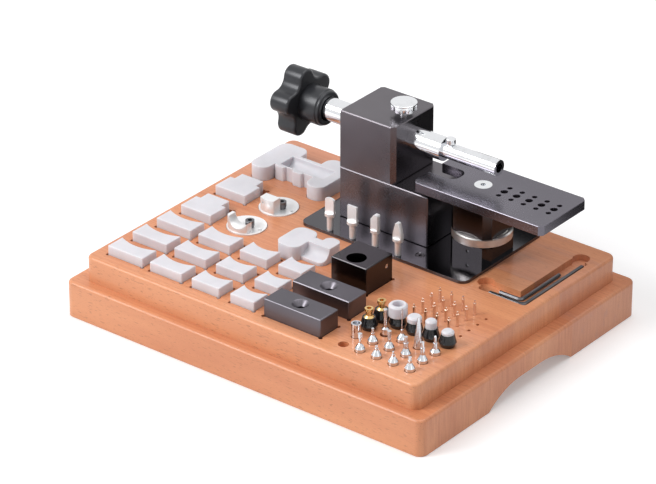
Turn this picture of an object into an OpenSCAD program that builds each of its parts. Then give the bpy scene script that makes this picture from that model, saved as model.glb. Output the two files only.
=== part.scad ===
// Bench watch case opener: a screw press head and a lifting table on a
// beech base that stores its jaws, blocks, bits and keys.
// Origin: centre of the underside. +X runs along the spindle towards its nose,
// +Y to the back, +Z up. All lengths are in millimetres.

/* [Wooden base] */
// Length of the plinth
plinth_l = 400; // [380:1:460]
// Width of the plinth, front to back
plinth_w = 318; // [312:1:360]
// Height of the plinth
plinth_h = 35; // [25:1:50]
// Height of the tool board on the plinth
board_h = 25; // [22:0.5:34]
// Ledge of the plinth at each short side
ledge_x = 14.5; // [8:0.5:15]
// Ledge of the plinth at each long side
ledge_y = 11.5; // [6:0.5:12]
// Plan radius of the wooden corners
wood_corner_r = 8; // [5:0.5:12]
// Rounding of the upper wooden edges
wood_edge_r = 3; // [1.5:0.25:4.5]
// Width of the lifting arch along the underside
arch_w = 122; // [90:1:160]
// Width of the flat in the middle of the arch
arch_flat = 30; // [20:1:40]
// Height of the lifting arch
arch_h = 15.5; // [10:0.5:20]

/* [Machine plate and body] */
// Height of the spindle axis above the machine plate
spindle_rise = 86.5; // [84:0.5:92]
// Distance of the machine's centre line behind the base's centre
machine_y = 77; // [74:0.5:80]
// Length of the machine plate
plate_l = 185; // [180:1:190]
// Width of the machine plate
plate_w = 120; // [112:1:122]
// Thickness of the machine plate
plate_t = 3; // [2:0.25:5]
// Plan radius of the machine plate's corners
plate_r = 8; // [4:0.5:12]
// Length of the body block
body_l = 99; // [94:0.5:101]
// Width of the body and head blocks, front to back
body_w = 62.5; // [52:0.5:66]
// Distance of their front faces before the spindle axis
body_front = 29; // [27:0.5:30]
// Height of the body block
body_h = 50; // [46:0.5:52]
// Length of the head block
head_l = 61; // [54:0.5:62]
// Height of the head block
head_h = 57; // [54:0.5:62]
// Chamfer on the head block's upright corners, all but the front one by the knob
head_corner = 4; // [2:0.5:6]
// Eased edge on the metal blocks
block_ease = 0.8; // [0.4:0.1:1.2]
// Radius of the bolts that hold the machine together
bolt_r = 3; // [2.5:0.25:4]

/* [Spindle] */
// Outer radius of the quill
quill_r = 11; // [10:0.25:12]
// Length of the quill
quill_l = 134.5; // [130:0.5:138]
// Distance from the head block to the quill's end
quill_reach = 36; // [30:0.5:38]
// Radius of the spindle and its nose
nose_r = 7.5; // [6.5:0.25:8]
// Length of the nose beyond the quill
nose_l = 58.5; // [52:0.5:64]
// Radius of the bit socket in the nose
socket_r = 4.5; // [4:0.25:5.5]
// Depth of the bit socket
socket_l = 25; // [18:0.5:30]
// Radial running clearance of shafts
run_fit = 0.05; // [0.03:0.01:0.09]
// Radius of the nose screw's head
nose_screw_r = 4.6; // [3.5:0.1:5.2]
// Height of the nose screw's head
nose_screw_h = 5; // [4:0.25:5.5]
// Radius of the threaded shank of the nose screw
nose_shank_r = 2; // [1.5:0.1:2.5]

/* [Star knob] */
// Radius over the lobes
knob_r = 33; // [30:0.5:36]
// Radius at the bottom of the valleys
knob_valley_r = 23.5; // [22:0.25:25]
// Radius of a lobe
lobe_r = 10; // [9:0.25:11]
// Number of lobes
lobe_count = 5; // [5:1:5]
// Thickness of the lobed disc
knob_t = 21; // [16:0.5:24]
// Radius of the hub
hub_r = 17.5; // [15:0.25:19]
// Length of the hub
hub_l = 22.5; // [18:0.5:25]

/* [Clamp screw] */
// Radius of the clamp screw's fluted head
clamp_r = 12; // [9:0.5:13]
// Height of the clamp screw's head
clamp_h = 7.3; // [5:0.1:9]
// Height of its head above the head block
clamp_rise = 5; // [3:0.5:8]
// Number of flutes
clamp_flutes = 6; // [5:1:8]
// Radius of the clamp screw's shank
clamp_shank_r = 4; // [3:0.25:5]
// Distance from the nose side of the head block to the clamp screw
clamp_in = 11; // [10:0.5:16]
// Thickness of the brass pad under the clamp screw
clamp_pad_t = 3.4; // [2.5:0.1:4.5]

/* [Lifting table] */
// Length of the table
table_l = 141; // [132:0.5:144]
// Width of the table
table_w = 69; // [58:0.5:72]
// Thickness of the table
table_t = 9.5; // [8:0.25:11]
// Height of the table's top above the machine plate
table_rise = 65; // [64:0.25:66]
// Distance of the table's near end from the nose side of the head block
table_gap = 24.7; // [21.5:0.2:27.5]
// Chamfer on the table's upright corners
table_corner = 4; // [2:0.5:6]
// Eased edge on the table
table_ease = 0.5; // [0.3:0.1:1.2]
// Width of the open slot in the table
slot_w = 20.5; // [18:0.5:22.5]
// Length of the open slot
slot_l = 28.8; // [26:0.1:31]
// Corner radius at the slot's end
slot_r = 8.5; // [4:0.5:9]
// Spacing of the hole groups along the table
hole_pitch = 13.4; // [12:0.1:13.6]
// Number of hole groups
hole_groups = 5; // [4:1:5]
// Radius of the middle hole of a group
hole_r = 3.4; // [2.5:0.1:3.6]
// Radius of the dowel holes beside it
dowel_hole_r = 2.4; // [1.5:0.1:2.6]
// Distance of a dowel hole from the table's centre line
dowel_off = 8.5; // [8:0.1:11]
// Length of the pedestal and the riser along the table
riser_l = 44.5; // [40:0.5:48]
// Width of the pedestal and the riser
riser_w = 45; // [40:0.5:48]
// Chamfer on their upright corners
riser_corner = 6; // [4:0.5:8]
// Distance of their centre from the table's near end
riser_in = 53; // [52:0.5:54]
// Height of the pedestal
pedestal_h = 14.5; // [13:0.25:16]
// Radius of the lift wheel
wheel_r = 27.5; // [25:0.25:28.5]
// Thickness of the lift wheel
wheel_t = 8.8; // [8:0.1:9.6]
// Radius of the lifting stud
stud_r = 5; // [4:0.25:6]
// Depth of the stud's seat in the wood under the machine plate
stud_well = 6; // [3:0.5:10]
// Clear play above and below the wheel
wheel_play = 0.1; // [0.05:0.05:0.2]

/* [Nylon jaws] */
// Widths of the four jaw sizes
jaw_w = [40, 36.5, 31, 26.5];
// Depth of a jaw
jaw_d = 20; // [17:0.5:22]
// Height of a jaw above the board
jaw_rise = 9; // [6:0.5:12]
// Depth of the concave face of a jaw
jaw_hollow = 5; // [3:0.25:6]
// Distance between rows of jaws
jaw_pitch = 33.2; // [30:0.1:34]
// Number of jaws of each size
jaw_rows = 3; // [2:1:3]
// Width of a stepped jaw
step_jaw_w = 35; // [30:0.5:38]
// Depth of a stepped jaw
step_jaw_d = 33; // [28:0.5:36]
// Setback of the step
step_jaw_notch = 11; // [8:0.5:13]
// Depth of the pockets in the board
pocket_d = 6; // [3:0.5:8]
// Gap between a stored piece and its pocket
pocket_gap = 0.4; // [0.3:0.05:0.8]
// Radius of the relief holes at the pocket corners
relief_r = 2; // [1.5:0.1:2.5]

/* [Case clamps] */
// Height of the case clamps above the board
case_clamp_rise = 14; // [10:0.5:18]
// Length of the large case clamp
clamp_l = 85.5; // [82:0.5:88]
// Width of its end lobes, front to back
clamp_w = 55; // [50:0.5:58]
// Length of an end lobe at the front
lobe_l = 20.5; // [19:0.5:22]
// Corner radius of the end lobes
lobe_corner = 9; // [6:0.5:9]
// Radius of the trough in the large case clamp
trough_r = 9.5; // [7:0.5:10]
// Length of the trough
trough_l = 50; // [44:0.5:54]
// Length of the small case clamp
small_clamp_l = 48.5; // [45:0.5:50]
// Width of the small case clamp
small_clamp_w = 37; // [34:0.5:38]
// Radius of the hollow in its front
hollow_r = 12; // [9:0.5:13]

/* [Anvil blocks] */
// Length of the two long blocks
long_block_l = 63; // [58:0.5:66]
// Width of the two long blocks
long_block_w = 25; // [22:0.5:27]
// Height of the long blocks above the board
long_block_rise = 17.5; // [14:0.5:20]
// Radius of the screw hole in a long block
long_hole_r = 3.4; // [2.5:0.1:4]
// Radius of its countersink at the top
long_sink_r = 8; // [6:0.25:9]
// Side of the tall block along X
tall_block_l = 39.5; // [36:0.5:42]
// Side of the tall block along Y
tall_block_w = 38; // [34:0.5:40]
// Height of the tall block above the board
tall_block_rise = 26.4; // [22:0.2:30]
// Radius of the bore in the tall block
tall_bore_r = 9; // [7:0.25:9.5]
// Distance of that bore from the block's front face
tall_bore_in = 11.5; // [11:0.25:16]
// Depth of the block pockets in the board
block_pocket_d = 3; // [2:0.25:5]

/* [Spring discs] */
// Radius of a screwed disc
disc_r = 18.5; // [16:0.25:20]
// Thickness of a screwed disc
disc_t = 4; // [3:0.25:5]
// Height of a disc above the board
disc_rise = 1; // [0.5:0.25:2]
// Height of the segment that stands on a disc
segment_h = 13.5; // [10:0.5:15]
// Radius of the socket screw's head on a disc
disc_screw_r = 4.2; // [3.5:0.1:4.4]
// Radius of the notch in the front disc's segment
notch_r = 9.8; // [8:0.2:10.4]

/* [Case blades] */
// Spacing of the blades along the plate
blade_pitch = 25.6; // [22:0.2:28]
// Radius of a blade's head
blade_r = 5; // [4:0.25:5.5]
// Radius of a blade's shank
blade_shank_r = 3; // [2.5:0.1:3.5]
// Height of the shank above the plate
blade_shank_h = 13.5; // [10:0.5:15]
// Height of the head of a blade
blade_head_h = 18.5; // [15:0.5:20]
// Height of the round collar under a blade's tongue
collar_h = 3.6; // [3:0.2:5]
// Thickness of a blade's tongue
tongue_t = 2.4; // [2:0.1:3]
// Depth of the blade sockets in the wood
blade_well = 9; // [6:0.5:12]

/* [Pushers and pins] */
// Spacing of the pusher holes
pusher_pitch = 17.8; // [17.2:0.1:18.2]
// Radius of a pusher's foot
pusher_r = 4.5; // [4:0.1:4.8]
// Depth of the pusher holes
pusher_well = 8; // [6:0.5:12]
// Largest radius of a rubber cone
cone_r = 7.8; // [7:0.1:8.2]
// Height of a rubber cone
cone_h = 11.5; // [9:0.5:13]
// Spacing of the pin holes
pin_pitch = 12.5; // [11:0.1:12.6]
// Radius of a pin
pin_r = 1.3; // [0.9:0.05:1.5]
// Height of a pin above the board
pin_h = 14; // [10:0.5:16]

/* [Hex keys] */
// Width across the flats of the large key
key_af = 5; // [4:0.25:5.5]
// Long arm of the large key
key_long = 89; // [80:0.5:92]
// Short arm of the large key
key_short = 37; // [32:0.5:39]
// Width across the flats of the small key
small_key_af = 3; // [2:0.25:3.5]
// Long arm of the small key
small_key_long = 58; // [50:0.5:62]
// Short arm of the small key
small_key_short = 23; // [20:0.5:25]

/* [Hidden] */
$fn = 48;

// Overlap that keeps cuts clear of the faces they open
cut = 1;
board_top = plinth_h + board_h;
plate_top = board_top + plate_t;
board_l = plinth_l - 2 * ledge_x;
board_w = plinth_w - 2 * ledge_y;

// The lifting arch sits a little in front of the middle
arch_y = -2;

// Machine plate, body and head, laid out from the head block's nose side
nose_side = 10.5;
body_x0 = nose_side - head_l;
body_x1 = body_x0 + body_l;
plate_lead = 21.5;
plate_x0 = body_x0 - plate_lead;
body_y0 = machine_y - body_front;
plate_x1 = plate_x0 + plate_l;
body_top = plate_top + body_h;
head_top = body_top + head_h;
axis_z = plate_top + spindle_rise;
bolt_in = 9;
bolt_head_h = 2 * bolt_r;
bolt_head_r = 1.65 * bolt_r;
plate_screw_x = body_x1 + 3.3;
plate_screw_off = plate_w / 2 - 17;

// Spindle along X
quill_x1 = nose_side + quill_reach;
quill_x0 = quill_x1 - quill_l;
nose_end = quill_x1 + nose_l;
hub_x1 = quill_x0 + 3;
hub_x0 = hub_x1 - hub_l;
knob_x0 = hub_x0 - knob_t;
spindle_x0 = knob_x0 + 6;
nose_screw_x = quill_x1 + nose_screw_r + 0.6;
lobe_dist = knob_r - lobe_r;
lobe_half = 180 / lobe_count;
// Valley radius that is tangent to both lobes beside it
valley_cut_r = (knob_valley_r ^ 2 + lobe_dist ^ 2 - 2 * lobe_dist * knob_valley_r * cos(lobe_half)
    - lobe_r ^ 2) / (2 * (lobe_r + lobe_dist * cos(lobe_half) - knob_valley_r));
valley_dist = knob_valley_r + valley_cut_r;
lobe_turn = 24;

// Clamp screw
clamp_x = nose_side - clamp_in;
clamp_pad_z = axis_z + quill_r + 0.1;
clamp_tip_z = clamp_pad_z + clamp_pad_t;
clamp_head_z = head_top + clamp_rise;

// Lifting table and its drive
table_x0 = nose_side + table_gap;
table_x1 = table_x0 + table_l;
table_top = plate_top + table_rise;
table_z0 = table_top - table_t;
riser_x = table_x0 + riser_in;
pedestal_top = plate_top + pedestal_h;
wheel_z0 = pedestal_top + wheel_play;
wheel_z1 = wheel_z0 + wheel_t;
riser_z0 = wheel_z1 + wheel_play;
stud_z0 = plate_top - 1;
group_end = 11.5;
group_x = table_x1 - group_end - (hole_groups - 1) * hole_pitch;
pedestal_screw_off = 14;
pedestal_bore = 10;
dowel_reach = 14;
dowel_sink = 10;
table_sink_r = 8.2;
table_sink_d = 4.6;

// Stores in the board
jaw_x = [-150.5, -103.25, -58, -16.25];
jaw_y = -123;
stepped_y = [-17, 32];
stepped_x = -152.2;
large_clamp_at = [-168.5, 61];
small_clamp_at = [-54, -42];
disc_x = -107.5;
disc_y = [-15, 31];
disc_screw_at = [4.5, -1];
front_block = [39.8, -121];
rear_block = [39.5, -81];
tall_block_at = [36.75, -31.5];
blade_x = -41;
blade_y = machine_y - plate_w / 2 + 5.2;
pusher_at = [93.2, -129.5];
pin_at = [113.3, -56.3];
cup_bore_r = 3.2;
tip_bore_r = 2;
key_corner = [172, 24.5];
small_key_corner = [162.5, 34];

// Colours as the object shows them
beech = "#d9925f";
black_metal = "#1b1b1f";
grey_metal = "#4a4a50";
bright_metal = "#d8dade";
nylon = "#f2f1f4";
brass = "#c9a04a";
rubber = "#101012";

// Plan rectangle between two corners with rounded corners, grown by g
module round_rect(a, b, r, g = 0) {
    x0 = a[0] - g;
    y0 = a[1] - g;
    x1 = b[0] + g;
    y1 = b[1] + g;
    q = r + g;
    translate([x0 + q, y0]) square([x1 - x0 - 2 * q, y1 - y0]);
    translate([x0, y0 + q]) square([x1 - x0, y1 - y0 - 2 * q]);
    for (x = [x0 + q, x1 - q], y = [y0 + q, y1 - q]) translate([x, y]) circle(q);
}

// The same about a centre
module round_plan(l, w, r) {
    round_rect([-l / 2, -w / 2], [l / 2, w / 2], r);
}

// Rectangle with its corners cut by c
module cut_rect(l, w, c) {
    polygon([[c, 0], [l - c, 0], [l, c], [l, w - c], [l - c, w], [c, w], [0, w - c], [0, c]]);
}

// Box from corner a with size s and all its edges eased by c
module eased_box(a, s, c) {
    translate(a) intersection() {
        linear_extrude(s[2]) cut_rect(s[0], s[1], c);
        translate([0, s[1], 0]) rotate([90, 0, 0]) linear_extrude(s[1]) cut_rect(s[0], s[2], c);
        rotate([90, 0, 90]) linear_extrude(s[0]) cut_rect(s[1], s[2], c);
    }
}

// Slab with rounded plan corners and a rounded upper edge
module soft_slab(l, w, h, r, e) {
    linear_extrude(h - e) round_plan(l, w, r);
    translate([0, 0, h - e]) {
        translate([0, 0, -e]) linear_extrude(2 * e) round_plan(l - 2 * e, w - 2 * e, r - e);
        for (x = [-1, 1], y = [-1, 1]) translate([x * (l / 2 - r), y * (w / 2 - r), 0])
            rotate_extrude() intersection() {
                translate([r - e, 0]) circle(e);
                translate([0, -e / 2]) square([r, 1.5 * e]);
            }
        for (t = [0, 180]) rotate(t) {
            translate([-(l / 2 - r), w / 2 - e, 0]) rotate([90, 0, 90]) quarter_rail(e, l - 2 * r);
            translate([l / 2 - e, w / 2 - r, 0]) rotate([90, 0, 0]) quarter_rail(e, w - 2 * r);
        }
    }
}

// Quarter-round rail along a soft edge, overlapping the slab it lies on
module quarter_rail(e, l) {
    linear_extrude(l) intersection() {
        circle(e);
        translate([-e / 2, -e / 2]) square(1.5 * e);
    }
}

// Pocket for a rectangular piece, with relief holes at its corners
module pocket(x0, y0, w, d, depth) {
    translate([x0 - pocket_gap, y0 - pocket_gap, board_top - depth])
        cube([w + 2 * pocket_gap, d + 2 * pocket_gap, depth + cut]);
    for (x = [x0, x0 + w], y = [y0, y0 + d])
        translate([x, y, board_top - depth]) cylinder(h = depth + cut, r = relief_r);
}

module hole(x, y, r, depth) {
    translate([x, y, board_top - depth]) cylinder(h = depth + cut, r = r);
}

module along_x(x0, x1, r) {
    translate([x0, machine_y, axis_z]) rotate([0, 90, 0]) cylinder(h = x1 - x0, r = r);
}

// Lifting arch in the YZ plane: a flat between two arcs that run down to the bench
module arch_profile() {
    side = (arch_w - arch_flat) / 2;
    arch_r = (side ^ 2 + arch_h ^ 2) / (2 * arch_h);
    translate([-arch_flat / 2, -cut]) square([arch_flat, arch_h + cut]);
    for (s = [-1, 1]) intersection() {
        translate([s * arch_flat / 2, arch_h - arch_r]) circle(arch_r);
        translate([s > 0 ? arch_flat / 2 - 2 : -arch_w / 2 - cut, -cut])
            square([side + 2 + cut, arch_h + cut]);
    }
}

module plinth() {
    color(beech) difference() {
        soft_slab(plinth_l, plinth_w, plinth_h, wood_corner_r, wood_edge_r);
        translate([-plinth_l / 2 - cut, arch_y, 0]) rotate([90, 0, 90])
            linear_extrude(plinth_l + 2 * cut) arch_profile();
    }
}

module board_pockets() {
    for (c = [0:3], r = [0:jaw_rows - 1])
        pocket(jaw_x[c] - jaw_w[c] / 2, jaw_y + r * jaw_pitch - jaw_d / 2, jaw_w[c], jaw_d, pocket_d);
    for (y = stepped_y)
        pocket(stepped_x - step_jaw_w / 2, y - step_jaw_d / 2, step_jaw_w, step_jaw_d, pocket_d);
    for (y = disc_y) hole(disc_x, y, disc_r + pocket_gap, disc_t - disc_rise);
    for (p = [front_block, rear_block])
        pocket(p[0] - long_block_l / 2, p[1] - long_block_w / 2, long_block_l, long_block_w,
            block_pocket_d);
    pocket(tall_block_at[0] - tall_block_l / 2, tall_block_at[1] - tall_block_w / 2,
        tall_block_l, tall_block_w, block_pocket_d);
    translate([0, 0, board_top - pocket_d]) linear_extrude(pocket_d + cut) {
        large_clamp_plan(pocket_gap);
        small_clamp_plan(pocket_gap);
    }
}

// Routed pocket of the two hex keys, with a finger recess at each end
module key_pocket() {
    depth = key_af + 1;
    x1 = key_corner[0] + key_af / 2 + 1.5;
    y0 = key_corner[1] - key_af / 2 - 1.5;
    recess_r = 8;
    short_l = key_short + 15;
    translate([0, 0, board_top - depth]) {
        linear_extrude(depth + cut) {
            round_rect([x1 - 18, y0], [x1, y0 + key_long + 8], 4);
            round_rect([x1 - short_l, y0], [x1, y0 + 19], 4);
        }
        translate([x1 - short_l, y0 + 14.5, 0]) cylinder(h = depth + cut, r = recess_r);
        translate([x1 - 11, y0 + key_long + 12, 0]) cylinder(h = depth + cut, r = recess_r);
    }
}

module tool_board() {
    color(beech) difference() {
        translate([0, 0, plinth_h]) soft_slab(board_l, board_w, board_h, wood_corner_r, wood_edge_r);
        board_pockets();
        key_pocket();
        for (i = [0:4], j = [0:2]) if (i != 0 || j != 2)
            hole(pusher_at[0] + i * pusher_pitch, pusher_at[1] + j * pusher_pitch,
                pusher_r + pocket_gap, pusher_well);
        for (i = [0:4], j = [0:3])
            hole(pin_at[0] + i * pin_pitch, pin_at[1] + j * pin_pitch, pin_r + 0.2, pusher_well);
        for (i = [0:3]) hole(blade_x + i * blade_pitch, blade_y, blade_shank_r + 0.2, blade_well);
        for (p = plate_screw_spots()) hole(p[0], p[1], bolt_r * 0.6, 14);
        for (p = bolt_spots()) hole(p[0], p[1], bolt_head_r + 0.5, bolt_head_h + 0.5);
        for (x = [-1, 1]) hole(riser_x + x * pedestal_screw_off, machine_y, 5, 6);
        hole(riser_x, machine_y, stud_r + 1, stud_well);
    }
}

function plate_screw_spots() = [for (s = [-1, 1]) [plate_screw_x, machine_y + s * plate_screw_off]];
function bolt_spots() = [for (x = [body_x0 + bolt_in, nose_side - bolt_in - 12],
    y = [body_y0 + bolt_in, body_y0 + body_w - bolt_in]) [x, y]];

module machine_plate() {
    sink_r = 2 * bolt_r * 0.8;
    color(black_metal) difference() {
        translate([0, 0, board_top]) linear_extrude(plate_t)
            round_rect([plate_x0, machine_y - plate_w / 2], [plate_x1, machine_y + plate_w / 2], plate_r);
        for (p = plate_screw_spots()) translate([p[0], p[1], board_top - cut]) {
            cylinder(h = plate_t + 2 * cut, r = bolt_r * 0.8);
            translate([0, 0, cut + plate_t - 1.8]) cylinder(h = 1.81, r1 = bolt_r * 0.8, r2 = sink_r);
        }
        for (p = bolt_spots()) translate([p[0], p[1], board_top - cut])
            cylinder(h = plate_t + 2 * cut, r = bolt_r + 0.2);
        for (x = [-1, 1]) translate([riser_x + x * pedestal_screw_off, machine_y, board_top - cut])
            cylinder(h = plate_t + 2 * cut, r = 2.7);
        translate([riser_x, machine_y, board_top - cut]) cylinder(h = plate_t + 2 * cut, r = stud_r + 0.5);
        for (i = [0:3]) translate([blade_x + i * blade_pitch, blade_y, board_top - cut])
            cylinder(h = plate_t + 2 * cut, r = blade_shank_r + run_fit);
    }
}

// Countersunk screws that hold the plate to the board
module plate_screws() {
    color(black_metal) for (p = plate_screw_spots()) translate([p[0], p[1], 0]) difference() {
        union() {
            translate([0, 0, board_top - 12]) cylinder(h = 12 + plate_t - 1.9, r = bolt_r * 0.6);
            translate([0, 0, plate_top - 1.9])
                cylinder(h = 1.5, r1 = bolt_r * 0.6, r2 = bolt_r * 1.35);
        }
        translate([0, 0, plate_top - 1.4]) cylinder(h = 2, r = bolt_r * 0.6, $fn = 6);
    }
}

module body_block() {
    color(black_metal) difference() {
        eased_box([body_x0, body_y0, plate_top], [body_l, body_w, body_h], block_ease);
        for (p = bolt_spots()) translate([p[0], p[1], plate_top - cut])
            cylinder(h = body_h + 2 * cut, r = bolt_r + 0.2);
    }
}

module head_block() {
    color(black_metal) difference() {
        intersection() {
            eased_box([body_x0, body_y0, body_top], [head_l, body_w, head_h], block_ease);
            translate([body_x0, body_y0, body_top - cut]) linear_extrude(head_h + 2 * cut) {
                cut_rect(head_l, body_w, head_corner);
                square([head_l / 2, body_w / 2]);
            }
        }
        along_x(body_x0 - cut, nose_side + cut, quill_r + run_fit);
        translate([clamp_x, machine_y, axis_z])
            cylinder(h = head_top - axis_z + cut, r = clamp_shank_r + run_fit);
        for (p = bolt_spots()) translate([p[0], p[1], body_top - cut]) cylinder(h = 16 + cut, r = bolt_r);
    }
}

// Long bolts that hold plate, body and head together from below
module body_bolts() {
    color(grey_metal) for (p = bolt_spots()) translate([p[0], p[1], 0]) {
        translate([0, 0, board_top]) cylinder(h = plate_t + body_h + 15, r = bolt_r);
        difference() {
            translate([0, 0, board_top - bolt_head_h]) cylinder(h = bolt_head_h, r = bolt_head_r);
            translate([0, 0, board_top - bolt_head_h - cut]) cylinder(h = bolt_r + cut, r = bolt_r, $fn = 6);
        }
    }
}

module riser_plan() {
    translate([riser_x - riser_l / 2, machine_y - riser_w / 2]) cut_rect(riser_l, riser_w, riser_corner);
}

module pedestal() {
    color(black_metal) difference() {
        translate([0, 0, plate_top]) linear_extrude(pedestal_h) riser_plan();
        translate([riser_x, machine_y, plate_top - cut])
            cylinder(h = pedestal_h + 2 * cut, r = stud_r + run_fit);
        for (x = [-1, 1]) translate([riser_x + x * pedestal_screw_off, machine_y, plate_top - cut])
            cylinder(h = pedestal_bore + cut, r = 2.5);
        translate([riser_x, machine_y, plate_top + pedestal_h / 2]) rotate([90, 0, 0])
            cylinder(h = riser_w / 2 + cut, r = 1.5);
    }
}

// Socket screws that hold the pedestal from under the plate
module pedestal_screws() {
    color(grey_metal) for (x = [-1, 1])
        translate([riser_x + x * pedestal_screw_off, machine_y, 0]) difference() {
        union() {
            translate([0, 0, board_top - 5]) cylinder(h = 5, r = 4.5);
            translate([0, 0, board_top]) cylinder(h = plate_t + pedestal_bore - 1, r = 2.5);
        }
        translate([0, 0, board_top - 5 - cut]) cylinder(h = 2.5 + cut, r = 2.5, $fn = 6);
    }
}

// Pin in the pedestal that runs in the stud's keyway and keeps the table square
module guide_key() {
    color(bright_metal) translate([riser_x, machine_y - stud_r + 1.2, plate_top + pedestal_h / 2])
        rotate([90, 0, 0]) cylinder(h = riser_w / 2 - stud_r - 0.2, r = 1.5);
}

module lifting_stud() {
    color(bright_metal) difference() {
        translate([riser_x, machine_y, stud_z0]) cylinder(h = table_z0 - stud_z0, r = stud_r);
        translate([riser_x - 1.6, machine_y - stud_r - cut, stud_z0 - cut])
            cube([3.2, cut + 1.3, wheel_z0 - stud_z0 + cut]);
        translate([riser_x, machine_y, table_z0 - 14]) cylinder(h = 14 + cut, r = 3);
    }
}

module lift_wheel() {
    color(bright_metal) translate([riser_x, machine_y, wheel_z0]) difference() {
        union() {
            cylinder(h = 0.8, r1 = wheel_r - 0.8, r2 = wheel_r);
            translate([0, 0, 0.8]) cylinder(h = wheel_t - 1.6, r = wheel_r);
            translate([0, 0, wheel_t - 0.8]) cylinder(h = 0.8, r1 = wheel_r, r2 = wheel_r - 0.8);
        }
        translate([0, 0, -cut]) cylinder(h = wheel_t + 2 * cut, r = stud_r + run_fit);
    }
}

module riser_block() {
    color(black_metal) difference() {
        translate([0, 0, riser_z0]) linear_extrude(table_z0 - riser_z0) riser_plan();
        translate([riser_x, machine_y, riser_z0 - cut])
            cylinder(h = table_z0 - riser_z0 + 2 * cut, r = stud_r + run_fit);
        for (s = [-1, 1]) translate([riser_x, machine_y + s * dowel_reach, table_z0 - dowel_sink])
            cylinder(h = dowel_sink + cut, r = 2.5);
    }
}

// Dowels that key the table to the riser
module riser_dowels() {
    color(bright_metal) for (s = [-1, 1])
        translate([riser_x, machine_y + s * dowel_reach, table_z0 - dowel_sink])
            cylinder(h = dowel_sink + 5, r = 2.5);
}

module table() {
    color(grey_metal) difference() {
        intersection() {
            eased_box([table_x0, machine_y - table_w / 2, table_z0],
                [table_l, table_w, table_t], table_ease);
            translate([table_x0, machine_y - table_w / 2, table_z0 - cut])
                linear_extrude(table_t + 2 * cut) cut_rect(table_l, table_w, table_corner);
        }
        translate([0, 0, table_z0 - cut]) linear_extrude(table_t + 2 * cut)
            round_rect([table_x0 - 2 * slot_r, machine_y - slot_w / 2],
                [table_x0 + slot_l, machine_y + slot_w / 2], slot_r);
        translate([riser_x, machine_y, table_z0 - cut]) cylinder(h = table_t + 2 * cut, r = 3.2);
        translate([riser_x, machine_y, table_top - table_sink_d])
            cylinder(h = table_sink_d + 0.01, r1 = 3.2, r2 = table_sink_r + 0.2);
        for (s = [-1, 1]) translate([riser_x, machine_y + s * dowel_reach, table_z0 - cut])
            cylinder(h = 5 + cut, r = 2.5);
        for (i = [0:hole_groups - 1]) translate([group_x + i * hole_pitch, machine_y, table_z0 - cut]) {
            cylinder(h = table_t + 2 * cut, r = hole_r);
            for (s = [-1, 1]) translate([0, s * dowel_off, 0])
                cylinder(h = table_t + 2 * cut, r = dowel_hole_r);
        }
    }
}

// Countersunk screw that ties the table to the lifting stud
module table_screw() {
    color(bright_metal) translate([riser_x, machine_y, 0]) difference() {
        union() {
            translate([0, 0, table_z0 - 13]) cylinder(h = 13 + table_t - table_sink_d, r = 3);
            translate([0, 0, table_top - table_sink_d])
                cylinder(h = table_sink_d - 0.2, r1 = 3, r2 = table_sink_r - 0.1);
        }
        translate([0, 0, table_top - 5]) cylinder(h = 5 + cut, r = 2.6, $fn = 6);
    }
}

module quill() {
    color(bright_metal) difference() {
        along_x(quill_x0, quill_x1, quill_r);
        along_x(quill_x0 - cut, quill_x1 + cut, nose_r + run_fit);
    }
}

module spindle() {
    color(bright_metal) difference() {
        along_x(spindle_x0, nose_end, nose_r);
        along_x(nose_end - socket_l, nose_end + cut, socket_r);
        translate([nose_screw_x, machine_y, axis_z]) cylinder(h = nose_r + cut, r = nose_shank_r);
        translate([nose_end - socket_l / 2, machine_y, axis_z]) rotate([135, 0, 0])
            cylinder(h = nose_r + cut, r = 1.5);
        translate([hub_x0 + hub_l / 2 - 3, machine_y, axis_z]) rotate([90, 0, 0])
            cylinder(h = 2 * nose_r + 2 * cut, r = 1.5, center = true);
    }
}

// Thumb screw in the nose, just beyond the quill's end
module nose_screw() {
    head_z = axis_z + nose_r + 0.3;
    color(bright_metal) translate([nose_screw_x, machine_y, 0]) {
        translate([0, 0, axis_z + 1]) cylinder(h = head_z - axis_z - 1, r = nose_shank_r);
        translate([0, 0, head_z]) cylinder(h = nose_screw_h - 0.8, r = nose_screw_r);
        translate([0, 0, head_z + nose_screw_h - 0.8])
            cylinder(h = 0.8, r1 = nose_screw_r, r2 = nose_screw_r - 0.8);
    }
}

// Grub screw that holds a bit in the socket
module bit_grub_screw() {
    color(grey_metal) translate([nose_end - socket_l / 2, machine_y, axis_z]) rotate([135, 0, 0])
        translate([0, 0, socket_r + 0.1]) difference() {
            cylinder(h = nose_r - socket_r - 0.4, r = 1.5);
            translate([0, 0, 0.8]) cylinder(h = nose_r, r = 0.8, $fn = 6);
        }
}

function at_angle(d, t) = [d * cos(t), d * sin(t)];

// Lobed outline: lobes joined by valleys that are tangent to them
module lobed_plan() {
    rotate(lobe_turn) difference() {
        union() {
            polygon([for (i = [0:2 * lobe_count - 1])
                at_angle(i % 2 == 0 ? lobe_dist : valley_dist, i * lobe_half)]);
            for (i = [0:lobe_count - 1]) translate(at_angle(lobe_dist, 2 * i * lobe_half)) circle(lobe_r);
        }
        for (i = [0:lobe_count - 1])
            translate(at_angle(valley_dist, (2 * i + 1) * lobe_half)) circle(valley_cut_r);
    }
}

module star_knob() {
    color(black_metal) difference() {
        union() {
            translate([knob_x0, machine_y, axis_z]) rotate([90, 0, 90]) linear_extrude(knob_t) lobed_plan();
            along_x(hub_x0 - cut, hub_x1, hub_r);
        }
        along_x(spindle_x0, hub_x1 + cut, nose_r + 0.02);
        along_x(quill_x0 - 1, hub_x1 + cut, quill_r + 0.5);
        translate([hub_x0 + hub_l / 2 - 3, machine_y, axis_z]) rotate([90, 0, 0])
            cylinder(h = 2 * hub_r + 2 * cut, r = 1.5, center = true);
    }
}

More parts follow.
